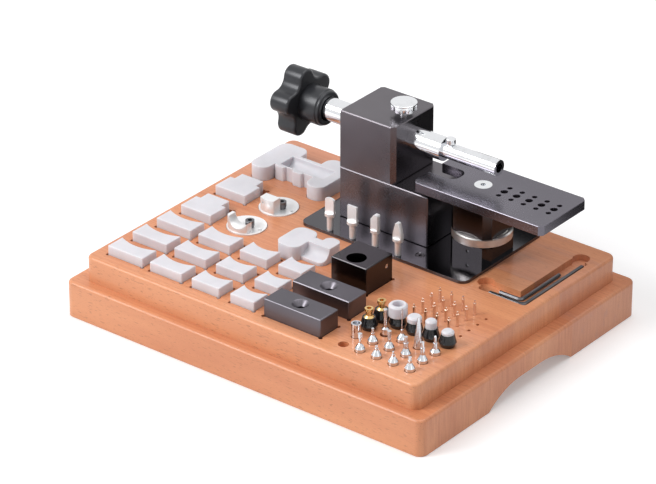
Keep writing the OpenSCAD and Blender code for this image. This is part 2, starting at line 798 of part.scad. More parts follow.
// Cross pin that ties the knob to the spindle
module knob_pin() {
    color(grey_metal) translate([hub_x0 + hub_l / 2 - 3, machine_y, axis_z]) rotate([90, 0, 0])
        cylinder(h = 2 * hub_r - 1.6, r = 1.5, center = true);
}

module clamp_screw() {
    flute_r = 4.5;
    flute_depth = 2;
    flute_turn = -52;
    disc_t = 1.4;
    color(bright_metal) translate([clamp_x, machine_y, 0]) {
        translate([0, 0, clamp_tip_z]) cylinder(h = clamp_head_z - clamp_tip_z + cut, r = clamp_shank_r);
        translate([0, 0, clamp_head_z]) difference() {
            union() {
                cylinder(h = clamp_h - 1, r = clamp_r);
                translate([0, 0, clamp_h - 1]) cylinder(h = 1, r1 = clamp_r, r2 = clamp_r - 1);
            }
            for (i = [0:clamp_flutes - 1]) rotate(flute_turn + i * 360 / clamp_flutes)
                translate([clamp_r + flute_r - flute_depth, 0, -cut])
                    cylinder(h = clamp_h - disc_t + cut, r = flute_r);
        }
    }
}

module clamp_pad() {
    color(brass) translate([clamp_x, machine_y, clamp_pad_z])
        cylinder(h = clamp_pad_t - 0.05, r = clamp_shank_r - 0.3);
}

// One jaw: a block whose back edge is hollowed to the curve of a case
module jaw(w) {
    hollow_r = (w ^ 2 / 4 + jaw_hollow ^ 2) / (2 * jaw_hollow);
    difference() {
        translate([-w / 2, -jaw_d / 2, board_top - pocket_d]) cube([w, jaw_d, pocket_d + jaw_rise]);
        translate([0, jaw_d / 2 - jaw_hollow + hollow_r, board_top - pocket_d - cut])
            cylinder(h = pocket_d + jaw_rise + 2 * cut, r = hollow_r, $fn = 96);
    }
}

module jaw_column(c) {
    color(nylon) for (r = [0:jaw_rows - 1]) translate([jaw_x[c], jaw_y + r * jaw_pitch, 0]) jaw(jaw_w[c]);
}

module nylon_jaws_40() { jaw_column(0); }
module nylon_jaws_36() { jaw_column(1); }
module nylon_jaws_31() { jaw_column(2); }
module nylon_jaws_26() { jaw_column(3); }

// Two jaws whose back steps in at both sides
module stepped_jaws() {
    side = 5;
    color(nylon) for (y = stepped_y) translate([stepped_x, y, board_top - pocket_d]) difference() {
        translate([-step_jaw_w / 2, -step_jaw_d / 2, 0]) cube([step_jaw_w, step_jaw_d, pocket_d + jaw_rise]);
        for (s = [-1, 1]) translate([s * (step_jaw_w / 2 + cut - (side + cut) / 2),
            step_jaw_d / 2 - step_jaw_notch / 2 + cut / 2, 0])
            cube([side + cut, step_jaw_notch + cut, 3 * (pocket_d + jaw_rise)], center = true);
    }
}

// Plan of the large case clamp: two end lobes joined by a bridge with two feet
module large_clamp_plan(g = 0) {
    x0 = large_clamp_at[0];
    y0 = large_clamp_at[1];
    x1 = x0 + clamp_l;
    y1 = y0 + clamp_w;
    back_l = 1.5 * lobe_l;
    round_rect([x0, y0], [x0 + lobe_l, y1], lobe_corner, g);
    round_rect([x0, y0 + 0.3 * clamp_w], [x0 + back_l, y1], lobe_corner, g);
    round_rect([x1 - lobe_l, y0], [x1, y1], lobe_corner, g);
    round_rect([x1 - back_l, y0 + 0.3 * clamp_w], [x1, y1], lobe_corner, g);
    translate([x0 + lobe_l / 2, y0 + 0.28 * clamp_w - g]) square([clamp_l - lobe_l, 0.45 * clamp_w + 2 * g]);
    for (x = [x0 + lobe_l + 1, x0 + 2 * lobe_l + 1])
        round_rect([x, y0 + 0.22 * clamp_w], [x + 11.5, y0 + 0.4 * clamp_w], 2.5, g);
}

module large_case_clamp() {
    trough_y = large_clamp_at[1] + 0.31 * clamp_w + trough_r;
    color(nylon) difference() {
        translate([0, 0, board_top - pocket_d])
            linear_extrude(pocket_d + case_clamp_rise) large_clamp_plan();
        translate([large_clamp_at[0] + 1.22 * lobe_l, trough_y, board_top + case_clamp_rise + 1])
            rotate([0, 90, 0]) cylinder(h = trough_l, r = trough_r);
    }
}

// Plan of the small case clamp: one thick lobe and one arm
module small_clamp_plan(g = 0) {
    x0 = small_clamp_at[0];
    y0 = small_clamp_at[1];
    x1 = x0 + small_clamp_l;
    y1 = y0 + small_clamp_w;
    round_rect([x0, y0], [x0 + small_clamp_l / 2, y1], lobe_corner, g);
    round_rect([x0 + small_clamp_l / 4, y0 + 8], [x1, y1 - 9], 6, g);
    round_rect([x1 - 15, y0 + 8], [x1, y1], 6, g);
}

module small_case_clamp() {
    top = board_top + case_clamp_rise;
    color(nylon) difference() {
        translate([0, 0, board_top - pocket_d])
            linear_extrude(pocket_d + case_clamp_rise) small_clamp_plan();
        translate([small_clamp_at[0] + small_clamp_l / 2, small_clamp_at[1] + 6.5, top + 1])
            rotate([0, 90, 0]) cylinder(h = small_clamp_l, r = hollow_r);
    }
}

module long_block(at) {
    z0 = board_top - block_pocket_d;
    h = block_pocket_d + long_block_rise;
    sink_d = long_sink_r - long_hole_r;
    color(grey_metal) difference() {
        eased_box([at[0] - long_block_l / 2, at[1] - long_block_w / 2, z0],
            [long_block_l, long_block_w, h], block_ease);
        translate([at[0], at[1], z0 - cut]) cylinder(h = h + 2 * cut, r = long_hole_r);
        translate([at[0], at[1], z0 + h - sink_d])
            cylinder(h = sink_d + 0.01, r1 = long_hole_r, r2 = long_sink_r);
    }
}

module front_long_block() { long_block(front_block); }
module rear_long_block() { long_block(rear_block); }

module tall_block() {
    z0 = board_top - block_pocket_d;
    h = block_pocket_d + tall_block_rise;
    y0 = tall_block_at[1] - tall_block_w / 2;
    color(black_metal) difference() {
        eased_box([tall_block_at[0] - tall_block_l / 2, y0, z0],
            [tall_block_l, tall_block_w, h], block_ease);
        translate([tall_block_at[0], y0 + tall_bore_in, z0 - cut])
            cylinder(h = h + 2 * cut, r = tall_bore_r);
        tall_grub_place() translate([0, 0, -cut]) cylinder(h = 8 + cut, r = 2);
    }
}

// Frame of the grub screw: Z runs into the tall block's side face
module tall_grub_place() {
    z = board_top + tall_block_rise - 9.6;
    translate([tall_block_at[0] + tall_block_l / 2, tall_block_at[1] + 10.5, z])
        rotate([0, -90, 0]) children();
}

module tall_block_grub() {
    color(bright_metal) tall_grub_place() difference() {
        translate([0, 0, 0.4]) cylinder(h = 7.6, r = 2);
        translate([0, 0, -cut]) cylinder(h = 3, r = 1, $fn = 6);
    }
}

module spring_discs() {
    color(bright_metal) for (y = disc_y)
        translate([disc_x, y, board_top + disc_rise - disc_t]) difference() {
        cylinder(h = disc_t, r = disc_r);
        translate([disc_r - 3, 0, disc_t - 2.5]) cylinder(h = 3, r = 1.5);
        translate([disc_screw_at[0], disc_screw_at[1], disc_t - 3]) cylinder(h = 4, r = 2.5);
    }
}

// Raised segment on a disc, from x0 to x1 along the disc's front rim
module disc_segment(x0, x1) {
    linear_extrude(segment_h) intersection() {
        circle(disc_r - 0.8);
        translate([x0, -disc_r]) square([x1 - x0, disc_r - 6.5]);
    }
}

module rear_disc_segment() {
    color(bright_metal) translate([disc_x, disc_y[1], board_top + disc_rise]) difference() {
        disc_segment(-9, 7);
        translate([-5, -disc_r, 0.7 * segment_h]) rotate([-90, 0, 0]) cylinder(h = 6, r = 1.2);
    }
}

// Segment whose top is hollowed by a round notch
module front_disc_segment() {
    color(bright_metal) translate([disc_x, disc_y[0], board_top + disc_rise]) difference() {
        disc_segment(-11, 11);
        translate([2.3, cut - 6.5, segment_h + 0.5]) rotate([90, 0, 0]) cylinder(h = disc_r, r = notch_r);
    }
}

module disc_screws() {
    color(grey_metal) for (y = disc_y)
        translate([disc_x + disc_screw_at[0], y + disc_screw_at[1], board_top + disc_rise]) difference() {
            union() {
                cylinder(h = 2, r = disc_screw_r - 0.6);
                translate([0, 0, 2]) cylinder(h = 5, r = disc_screw_r);
                translate([0, 0, -2.8]) cylinder(h = 3, r = 2.45);
            }
            translate([0, 0, 4.5]) cylinder(h = 3, r = 2.3, $fn = 6);
        }
}

// Shank of the blade at place i
module blade_shank(i) {
    translate([blade_x + i * blade_pitch, blade_y, board_top - blade_well + 0.5])
        cylinder(h = blade_well - 0.5 + plate_t + blade_shank_h + 1, r = blade_shank_r);
}

module blade_head(i) {
    translate([blade_x + i * blade_pitch, blade_y, plate_top + blade_shank_h]) children();
}

// Collar at the foot of a blade's head, with a tongue of thickness t on it
module tongue(r, t) {
    cylinder(h = 1, r1 = r - 1, r2 = r);
    translate([0, 0, 1]) cylinder(h = collar_h - 1, r = r);
    intersection() {
        cylinder(h = blade_head_h, r = r);
        translate([-r, -t / 2, 0]) cube([2 * r, t, blade_head_h]);
        children();
    }
}

// Outline in the XZ plane that is carried through a blade of radius r
module upright(r) {
    translate([0, r, 0]) rotate([90, 0, 0]) linear_extrude(2 * r) children();
}

// Tongue with a top that is rounded like a fingernail
module round_blade() {
    nail_r = 1.6 * blade_r;
    color(bright_metal) {
        blade_shank(0);
        blade_head(0) tongue(blade_r, tongue_t) upright(blade_r) {
            translate([0, blade_head_h - nail_r]) circle(nail_r);
            translate([-blade_r, 0]) square([2 * blade_r, blade_head_h - nail_r]);
        }
    }
}

module flat_blade() {
    color(bright_metal) {
        blade_shank(1);
        blade_head(1) tongue(blade_r + 0.2, tongue_t) upright(blade_r)
            translate([-2 * blade_r, 0]) square([4 * blade_r, blade_head_h]);
    }
}

// Tongue with one bevelled shoulder
module facet_blade() {
    r = blade_r - 0.6;
    h = blade_head_h;
    color(bright_metal) {
        blade_shank(2);
        blade_head(2) tongue(r, 2 * tongue_t) upright(r)
            polygon([[-r, 0], [r, 0], [r, h - 1.5], [r - 1, h], [-r + 4, h], [-r, h - 5.5]]);
    }
}

// Tongue that tapers to a point
module point_blade() {
    r = blade_r;
    h = blade_head_h;
    color(bright_metal) {
        blade_shank(3);
        blade_head(3) tongue(r, 2 * tongue_t) upright(r)
            polygon([[-r, 0], [r, 0], [r, collar_h + 1.5], [1.6, h], [-1.6, h], [-r, collar_h + 1.5]]);
    }
}

function pusher_spot(i, j) = [pusher_at[0] + i * pusher_pitch, pusher_at[1] + j * pusher_pitch, board_top];

module pusher_foot(r = pusher_r) {
    translate([0, 0, 0.5 - pusher_well]) cylinder(h = pusher_well + 2, r = r);
}

// Turned pusher: foot, bell-shaped shoulder, neck up to neck_h and tip up to tip_h
module small_pusher(neck_r, neck_h, tip_r, tip_h) {
    pusher_foot();
    translate([0, 0, 2]) cylinder(h = 0.8, r = pusher_r);
    translate([0, 0, 2.8]) cylinder(h = 2, r1 = pusher_r, r2 = pusher_r - 1.2);
    translate([0, 0, 4.8]) cylinder(h = 2.6, r1 = pusher_r - 1.2, r2 = neck_r);
    translate([0, 0, 7.4]) cylinder(h = neck_h - 7.4, r = neck_r);
    translate([0, 0, neck_h]) cylinder(h = tip_h - neck_h, r = tip_r);
}

// Column, row, radius and height of the neck, radius and height of the tip
small_pusher_list = [
    [1, 0, 1.1, 13, 2, 16.8],
    [2, 0, 1.7, 9, 1.2, 11.2],
    [3, 0, 1.4, 9, 0.9, 12],
    [4, 0, 1.8, 10, 1.5, 13],
    [1, 1, 1.5, 9.5, 1.2, 14],
    [2, 1, 1.5, 14.5, 1.9, 17.8],
    [3, 1, 2.2, 12.5, 1.6, 18.4],
    [4, 1, 2, 14, 1.5, 19.6],
    [2, 2, 1.2, 11, 0.6, 32]];

module small_pushers() {
    color(bright_metal) for (p = small_pusher_list)
        translate(pusher_spot(p[0], p[1])) small_pusher(p[2], p[3], p[4], p[5]);
}

module cup_pusher() {
    color(bright_metal) translate(pusher_spot(0, 1)) difference() {
        union() {
            pusher_foot(pusher_r - 0.4);
            cylinder(h = 13, r = pusher_r);
        }
        translate([0, 0, 8]) cylinder(h = 6, r = cup_bore_r);
    }
}

module rod_pusher() {
    color(bright_metal) translate(pusher_spot(1, 2)) {
        pusher_foot(pusher_r - 1.2);
        translate([0, 0, 2]) cylinder(h = 4, r = pusher_r - 1.2);
        translate([0, 0, 6]) cylinder(h = 1.4, r1 = pusher_r - 1.2, r2 = 1.7);
        translate([0, 0, 7.4]) cylinder(h = 17.5, r = 1.7);
    }
}

module cone_pusher() {
    color(bright_metal) translate(pusher_spot(3, 2)) {
        pusher_foot(pusher_r - 0.2);
        translate([0, 0, 2]) cylinder(h = 27, r1 = pusher_r - 0.2, r2 = 1.1);
    }
}

module pin_pusher() {
    color(bright_metal) translate(pusher_spot(4, 2)) {
        pusher_foot();
        translate([0, 0, 2]) cylinder(h = 0.8, r = pusher_r);
        translate([0, 0, 2.8]) cylinder(h = 2.7, r1 = pusher_r, r2 = 2.4);
        translate([0, 0, 5.5]) cylinder(h = 5, r1 = 2.4, r2 = 1.9);
        translate([0, 0, 10.5]) cylinder(h = 6, r = 1.2);
        translate([0, 0, 16.5]) sphere(1.2);
    }
}

// Rubber cones on the board: one place in row two and all of row three
function cone_spots() = concat([pusher_spot(0, 2)], [for (i = [0:4]) pusher_spot(i, 3)]);

module rubber_cones() {
    widest = 0.35 * cone_h;
    color(rubber) for (p = cone_spots()) translate(p) {
        cylinder(h = widest, r1 = cone_r - 1.6, r2 = cone_r);
        translate([0, 0, widest]) cylinder(h = cone_h - widest, r1 = cone_r, r2 = cone_r - 2);
    }
}

module brass_tips() {
    color(brass) for (i = [0, 1]) translate(cone_spots()[i]) translate([0, 0, cone_h]) difference() {
        union() {
            cylinder(h = 1.6, r1 = 4.6, r2 = 3);
            translate([0, 0, 1.6]) cylinder(h = 4.4, r = 2.9);
            translate([0, 0, 6]) cylinder(h = 2.4, r = 3.9);
        }
        translate([0, 0, 4.5]) cylinder(h = 5, r = tip_bore_r);
    }
}

module nylon_cap() {
    cap_r = 8.4;
    bore_r = 5;
    rim = 1.4;
    side_h = 9.4;
    bore_h = 7;
    color(nylon) translate(cone_spots()[2]) translate([0, 0, cone_h]) difference() {
        union() {
            cylinder(h = side_h, r = cap_r);
            translate([0, 0, side_h]) cylinder(h = rim, r1 = cap_r, r2 = cap_r - rim);
        }
        translate([0, 0, side_h + rim - bore_h]) cylinder(h = bore_h + cut, r = bore_r);
    }
}

// Radius and height of each of the three smaller caps
cap_list = [[6.4, 5.2], [5.1, 7.6], [5.5, 3.6]];

module cap_tips() {
    color(nylon) for (i = [0:2]) translate(cone_spots()[i + 3]) translate([0, 0, cone_h]) {
        cylinder(h = cap_list[i][1] - 1.4, r = cap_list[i][0]);
        translate([0, 0, cap_list[i][1] - 1.4])
            cylinder(h = 1.4, r1 = cap_list[i][0], r2 = cap_list[i][0] - 1.4);
    }
}

// Fine pins in the first four columns of the pin holes
module fine_pins() {
    color(bright_metal) for (i = [0:3], j = [0:3])
        translate([pin_at[0] + i * pin_pitch, pin_at[1] + j * pin_pitch, board_top - pusher_well + 0.5]) {
            cylinder(h = pusher_well + pin_h - 3, r = pin_r);
            translate([0, 0, pusher_well + pin_h - 3]) cylinder(h = 2.5, r = 0.6 + 0.15 * ((i + j) % 3));
        }
}

// L-shaped hex key with its bend at the origin, arms along -X and +Y
module hex_key(af, short, long) {
    bend = 1.2 * af;
    hex_r = af / sqrt(3);
    translate([-bend, 0, 0]) rotate([0, -90, 0]) rotate(90) cylinder(h = short - bend, r = hex_r, $fn = 6);
    translate([0, bend, 0]) rotate([-90, 0, 0]) cylinder(h = long - bend, r = hex_r, $fn = 6);
    translate([-bend, bend, 0]) rotate([0, 0, -90]) rotate_extrude(angle = 90, $fn = 64)
        translate([bend, 0]) circle(r = hex_r, $fn = 6);
}

module large_hex_key() {
    color(grey_metal) translate([key_corner[0], key_corner[1], board_top - key_af - 1 + key_af / 2])
        hex_key(key_af, key_short, key_long);
}

module small_hex_key() {
    z = board_top - key_af - 1 + small_key_af / 2;
    color(grey_metal) translate([small_key_corner[0], small_key_corner[1], z])
        hex_key(small_key_af, small_key_short, small_key_long);
}

plinth();
tool_board();
machine_plate();
plate_screws();
body_block();
head_block();
body_bolts();
pedestal();
pedestal_screws();
guide_key();
quill();
spindle();
star_knob();
knob_pin();
nose_screw();
bit_grub_screw();
clamp_screw();
clamp_pad();
lift_wheel();
table();
riser_block();
lifting_stud();
table_screw();
riser_dowels();
nylon_jaws_40();
nylon_jaws_36();
nylon_jaws_31();
nylon_jaws_26();
stepped_jaws();
large_case_clamp();
small_case_clamp();
front_long_block();
rear_long_block();
tall_block();
tall_block_grub();
spring_discs();
front_disc_segment();
rear_disc_segment();
disc_screws();
round_blade();
flat_blade();
facet_blade();
point_blade();
small_pushers();
cup_pusher();
rod_pusher();
cone_pusher();
pin_pusher();
rubber_cones();
brass_tips();
nylon_cap();
cap_tips();
fine_pins();
large_hex_key();
small_hex_key();
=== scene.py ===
"""Looks of the bench watch case opener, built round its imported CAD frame.

Shapes are worked out in millimetres, in the frame's axes: +X along the spindle towards its
nose, +Y to the back, where the machine stands, and +Z up. They become metres as a piece is
finished.
"""

import logging
import math
from dataclasses import dataclass
from enum import Enum

import bmesh
import bpy
from mathutils import Matrix, Vector


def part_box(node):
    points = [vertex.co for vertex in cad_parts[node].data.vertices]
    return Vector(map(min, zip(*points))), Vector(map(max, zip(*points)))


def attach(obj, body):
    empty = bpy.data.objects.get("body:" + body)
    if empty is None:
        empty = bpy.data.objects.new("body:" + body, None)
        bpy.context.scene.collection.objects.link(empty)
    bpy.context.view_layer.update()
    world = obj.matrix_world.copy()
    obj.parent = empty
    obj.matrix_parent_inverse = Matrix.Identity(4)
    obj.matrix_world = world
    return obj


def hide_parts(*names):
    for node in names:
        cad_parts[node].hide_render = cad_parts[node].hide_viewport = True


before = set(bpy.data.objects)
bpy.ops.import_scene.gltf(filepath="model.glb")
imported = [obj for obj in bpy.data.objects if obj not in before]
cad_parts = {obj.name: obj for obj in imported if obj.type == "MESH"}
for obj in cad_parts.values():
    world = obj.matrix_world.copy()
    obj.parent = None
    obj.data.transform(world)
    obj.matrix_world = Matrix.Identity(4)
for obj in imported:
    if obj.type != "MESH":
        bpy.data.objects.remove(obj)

LOG = logging.getLogger("case_opener")
MM = 0.001
MERGE_MM = 0.002
FLAT_ANGLE = math.radians(0.8)
CURVE_ANGLE = math.radians(1)
SMOOTH_ANGLE = math.radians(32)
Point = tuple[float, float]
Colour = tuple[float, float, float]
Waves = tuple[float, float, float]


class Sock:
    """A shader value. Python's operators on it add Math nodes to its tree."""

    def __init__(self, tree: bpy.types.NodeTree, socket: bpy.types.NodeSocket) -> None:
        """Keep the tree and the socket that gives the value."""
        self.tree = tree
        self.socket = socket

    def math(self, operation: str, *terms: "Sock | float") -> "Sock":
        """Add one Math node.

        Args:
            operation: The node's operation.
            terms: Its inputs in order, as sockets or numbers.

        Returns:
            The node's result.
        """
        node = self.tree.nodes.new("ShaderNodeMath")
        node.operation = operation
        for place, term in zip(node.inputs, terms):
            if isinstance(term, Sock):
                self.tree.links.new(term.socket, place)
            else:
                place.default_value = term
        return Sock(self.tree, node.outputs[0])

    def __add__(self, other: "Sock | float") -> "Sock":
        """Sum."""
        return self.math("ADD", self, other)

    def __radd__(self, other: float) -> "Sock":
        """Sum with a number on the left."""
        return self.math("ADD", other, self)

    def __mul__(self, other: "Sock | float") -> "Sock":
        """Product."""
        return self.math("MULTIPLY", self, other)

    def __rmul__(self, other: float) -> "Sock":
        """Product with a number on the left."""
        return self.math("MULTIPLY", other, self)

    def step(self, low: float, high: float) -> "Sock":
        """Smooth step of this value.

        Args:
            low: Value at which the result is 0.
            high: Value at which the result is 1.

        Returns:
            A value from 0 to 1.
        """
        node = self.tree.nodes.new("ShaderNodeMapRange")
        node.interpolation_type = "SMOOTHSTEP"
        self.tree.links.new(self.socket, node.inputs["Value"])
        node.inputs["From Min"].default_value = low
        node.inputs["From Max"].default_value = high
        return Sock(self.tree, node.outputs["Result"])


class Painter:
    """One material: a Principled shader and the nodes that feed it."""

    def __init__(self, name: str) -> None:
        """Start a material of that name with a plain Principled shader."""
        self.material = bpy.data.materials.new(name)
        self.material.use_nodes = True
        self.tree = self.material.node_tree
        self.shader = self.tree.nodes["Principled BSDF"]

    @classmethod
    def of_world(cls, world: bpy.types.World) -> "Painter":
        """Paint in a world's tree, whose shader is its Background."""
        paint = cls.__new__(cls)
        paint.tree = world.node_tree
        paint.shader = paint.tree.nodes["Background"]
        return paint

    def node(self, kind: str, settings: dict, inputs: dict) -> bpy.types.Node:
        """Add any node.

        Args:
            kind: The node's type without its ShaderNode prefix.
            settings: Its properties, set first. Stops, as (place, colour) pairs, fill a ramp.
            inputs: Values or Sock links, by input name or number.

        Returns:
            The new node.
        """
        node = self.tree.nodes.new(f"ShaderNode{kind}")
        for name, value in settings.items():
            if name == "stops":
                for element, (place, colour) in zip(self._elements(node, len(value)), value):
                    element.position = place
                    element.color = (*colour, 1.0)
            else:
                setattr(node, name, value)
        for name, value in inputs.items():
            self.feed(node.inputs[name], value)
        return node

    @staticmethod
    def _elements(node: bpy.types.Node, count: int) -> list:
        """Give a colour ramp the stops it needs and return them."""
        elements = node.color_ramp.elements
        while len(elements) < count:
            elements.new(0.5)
        return list(elements)

    def feed(self, place: bpy.types.NodeSocket, value: "Sock | float | tuple") -> None:
        """Link a Sock to an input, or set the input's own value."""
        if isinstance(value, Sock):
            self.tree.links.new(value.socket, place)
        else:
            place.default_value = value

    def out(self, node: bpy.types.Node, name: str | int = 0) -> Sock:
        """Wrap one of a node's outputs."""
        return Sock(self.tree, node.outputs[name])

    def place(self, scale: tuple[float, float, float], shift: tuple = (0, 0, 0)) -> Sock:
        """Object coordinates in metres, scaled and shifted.

        Args:
            scale: Factor along each axis.
            shift: Shift along each axis after scaling.

        Returns:
            A vector.
        """
        coords = self.out(self.node("TexCoord", {}, {}), "Object")
        mapping = self.node("Mapping", {}, {"Vector": coords, "Scale": scale, "Location": shift})
        return self.out(mapping)

    def axis(self, name: str) -> Sock:
        """One object coordinate, X, Y or Z, in metres."""
        coords = self.out(self.node("TexCoord", {}, {}), "Object")
        return self.out(self.node("SeparateXYZ", {}, {"Vector": coords}), name)

    def noise(self, scale: Waves, detail: float = 2.0, rough: float = 0.5,
              shift: tuple = (0, 0, 0)) -> Sock:
        """Noise whose grain differs along each axis.

        Args:
            scale: Waves for each metre, along each axis.
            detail: Octaves.
            rough: How strong the finer octaves are.
            shift: Shift of the pattern.

        Returns:
            A value around 0.5.
        """
        vector = self.place(scale, shift)
        node = self.node("TexNoise", {}, {"Vector": vector, "Scale": 1.0, "Detail": detail,
                                          "Roughness": rough})
        return self.out(node, "Fac")

    def blend(self, factor: "Sock | float", first: "Sock | Colour",
              second: "Sock | Colour") -> Sock:
        """Mix two colours.

        Args:
            factor: Share of the second colour.
            first: First colour.
            second: Second colour.

        Returns:
            The mixed colour.
        """
        node = self.node("Mix", {"data_type": "RGBA"}, {})
        self.feed(node.inputs[0], factor)
        for place, value in ((node.inputs[6], first), (node.inputs[7], second)):
            self.feed(place, value if isinstance(value, Sock) else (*value, 1.0))
        return Sock(self.tree, node.outputs[2])

    def bump(self, height: Sock, distance: float, strength: float = 1.0) -> None:
        """Raise the surface by a height pattern, in metres."""
        node = self.node("Bump", {}, {"Height": height, "Distance": distance,
                                      "Strength": strength})
        self.feed(self.shader.inputs["Normal"], self.out(node))

    def set(self, **values: "Sock | float | tuple") -> None:
        """Set or link the shader's inputs; a name's underscores stand for spaces."""
        for name, value in values.items():
            place = self.shader.inputs[name.replace("_", " ")]
            if isinstance(value, tuple) and len(value) == 3 and place.type == "RGBA":
                value = (*value, 1.0)
            self.feed(place, value)


@dataclass(frozen=True)
class Beech:
    """Varnished beech, glued up from staves that run along X."""

    name: str = "varnished_beech"
    pale: Colour = (0.73, 0.315, 0.150)
    deep: Colour = (0.52, 0.175, 0.077)
    brown: Colour = (0.50, 0.225, 0.150)
    fleck: Colour = (0.25, 0.085, 0.032)
    joint_y: float = 0.060
    joint_half: float = 0.0002
    offset: float = 0.0
    relief: float = 0.00006
    band_waves: Waves = (1.6, 17.0, 9.0)
    line_waves: Waves = (4.0, 420.0, 30.0)
    ray_waves: Waves = (150.0, 1150.0, 900.0)
    pore_waves: Waves = (420.0, 2600.0, 2600.0)
    streak_waves: Waves = (5.0, 95.0, 60.0)

    def material(self) -> bpy.types.Material:
        """Build the wood: broad bands, growth lines, short rays and a clear coat."""
        paint = Painter(self.name)
        bands = paint.noise(self.band_waves, 3.0, 0.55, (self.offset, 0, self.offset))
        lines = paint.noise(self.line_waves, 4.0, 0.6, (self.offset, 0, 0))
        rays = paint.noise(self.ray_waves, 2.0, 0.5).step(0.60, 0.70)
        pores = paint.noise(self.pore_waves, 1.0, 0.5).step(0.64, 0.72)
        back = paint.axis("Y").step(self.joint_y - self.joint_half, self.joint_y + self.joint_half)
        grain = (bands.step(0.30, 0.72) * 0.55 + lines.step(0.30, 0.75) * 0.45)
        colour = paint.blend(grain, self.pale, self.deep)
        streaks = paint.noise(self.streak_waves, 5.0, 0.65, (3.0, self.offset, 1.0))
        streaks = streaks.step(0.52, 0.74)
        colour = paint.blend(back * (0.30 + 0.55 * streaks), colour, self.brown)
        colour = paint.blend(rays * 0.42 + pores * 0.22, colour, self.fleck)
        paint.set(Base_Color=colour, Roughness=0.42 + 0.14 * lines, Coat_Weight=0.35,
                  Coat_Roughness=0.16, IOR=1.5)
        paint.bump(lines * 0.6 + rays * 0.4, self.relief, 0.6)
        return paint.material


@dataclass(frozen=True)
class Anodised:
    """Anodised aluminium, from glossy black to satin grey."""

    name: str
    colour: Colour
    roughness: float
    metallic: float = 1.0
    wear: float = 0.03
    rubbed: float = 1.25
    grain_waves: Waves = (900.0, 900.0, 900.0)
    rub_waves: Waves = (14.0, 14.0, 14.0)
    relief: float = 0.00001

    def material(self) -> bpy.types.Material:
        """Build the finish: faint blasting under the oxide and softly rubbed patches."""
        paint = Painter(self.name)
        grain = paint.noise(self.grain_waves, 3.0, 0.6)
        rubs = paint.noise(self.rub_waves, 3.0, 0.5)
        lighter = tuple(c * self.rubbed for c in self.colour)
        paint.set(Base_Color=paint.blend(rubs.step(0.25, 0.80), self.colour, lighter),
                  Metallic=self.metallic, IOR=1.5,
                  Roughness=self.roughness + self.wear * rubs + 0.03 * grain)
        paint.bump(grain, self.relief, 0.25)
        return paint.material


class Turning(Enum):
    """Axis that the tool marks of a turned metal piece run round."""

    ALONG_X = "x"
    ALONG_Z = "z"
    NONE = "none"


@dataclass(frozen=True)
class Metal:
    """Bare or plated metal with fine machining marks."""

    name: str
    colour: Colour
    roughness: float
    turning: Turning = Turning.NONE
    marks: float = 0.00002
    metallic: float = 1.0
    worn: float = 0.82
    wear_waves: Waves = (75.0, 75.0, 75.0)

    def material(self) -> bpy.types.Material:
        """Build the metal: marks round its axis and light handling wear."""
        paint = Painter(self.name)
        scale = {Turning.ALONG_X: (3200.0, 9.0, 9.0), Turning.ALONG_Z: (9.0, 9.0, 3200.0),
                 Turning.NONE: (700.0, 700.0, 700.0)}[self.turning]
        marks = paint.noise(scale, 2.0, 0.6)
        wear = paint.noise(self.wear_waves, 4.0, 0.65)
        darker = tuple(c * self.worn for c in self.colour)
        paint.set(Base_Color=paint.blend(wear.step(0.45, 0.85), self.colour, darker),
                  Metallic=self.metallic,
                  Roughness=self.roughness + 0.10 * wear.step(0.4, 0.8) + 0.05 * marks)
        paint.bump(marks, self.marks, 0.3)
        return paint.material


@dataclass(frozen=True)
class Nylon:
    """White machined nylon, slightly translucent."""

    name: str = "white_nylon"
    colour: Colour = (0.68, 0.665, 0.705)
    light_depth: tuple[float, float, float] = (1.0, 0.8, 0.8)
    light_scale: float = 0.007
    clouded: float = 0.94
    cloud_waves: Waves = (60.0, 60.0, 60.0)
    cut_waves: Waves = (90.0, 2300.0, 500.0)
    relief: float = 0.00003

    def material(self) -> bpy.types.Material:
        """Build the plastic: faint cutter marks and clouding inside."""
        paint = Painter(self.name)
        cloud = paint.noise(self.cloud_waves, 3.0, 0.5)
        cuts = paint.noise(self.cut_waves, 2.0, 0.5)
        shade = tuple(c * self.clouded for c in self.colour)
        paint.set(Base_Color=paint.blend(cloud.step(0.35, 0.75), self.colour, shade),
                  Roughness=0.42 + 0.12 * cuts, Subsurface_Weight=0.6, IOR=1.53,
                  Subsurface_Radius=self.light_depth, Subsurface_Scale=self.light_scale)
        paint.bump(cuts * 0.7 + cloud * 0.3, self.relief, 0.4)
        return paint.material


@dataclass(frozen=True)
class Rubber:
    """Soft black moulded rubber."""

    name: str = "black_rubber"
    colour: Colour = (0.009, 0.009, 0.010)
    dust: Colour = (0.03, 0.03, 0.032)
    bloom_waves: Waves = (180.0, 180.0, 180.0)
    relief: float = 0.00003

    def material(self) -> bpy.types.Material:
        """Build the rubber: dusty bloom over a smooth moulded skin."""
        paint = Painter(self.name)
        bloom = paint.noise(self.bloom_waves, 4.0, 0.6)
        paint.set(Base_Color=paint.blend(bloom.step(0.5, 0.9), self.colour, self.dust),
                  Roughness=0.14 + 0.12 * bloom, IOR=1.5)
        paint.bump(bloom, self.relief, 0.3)
        return paint.material


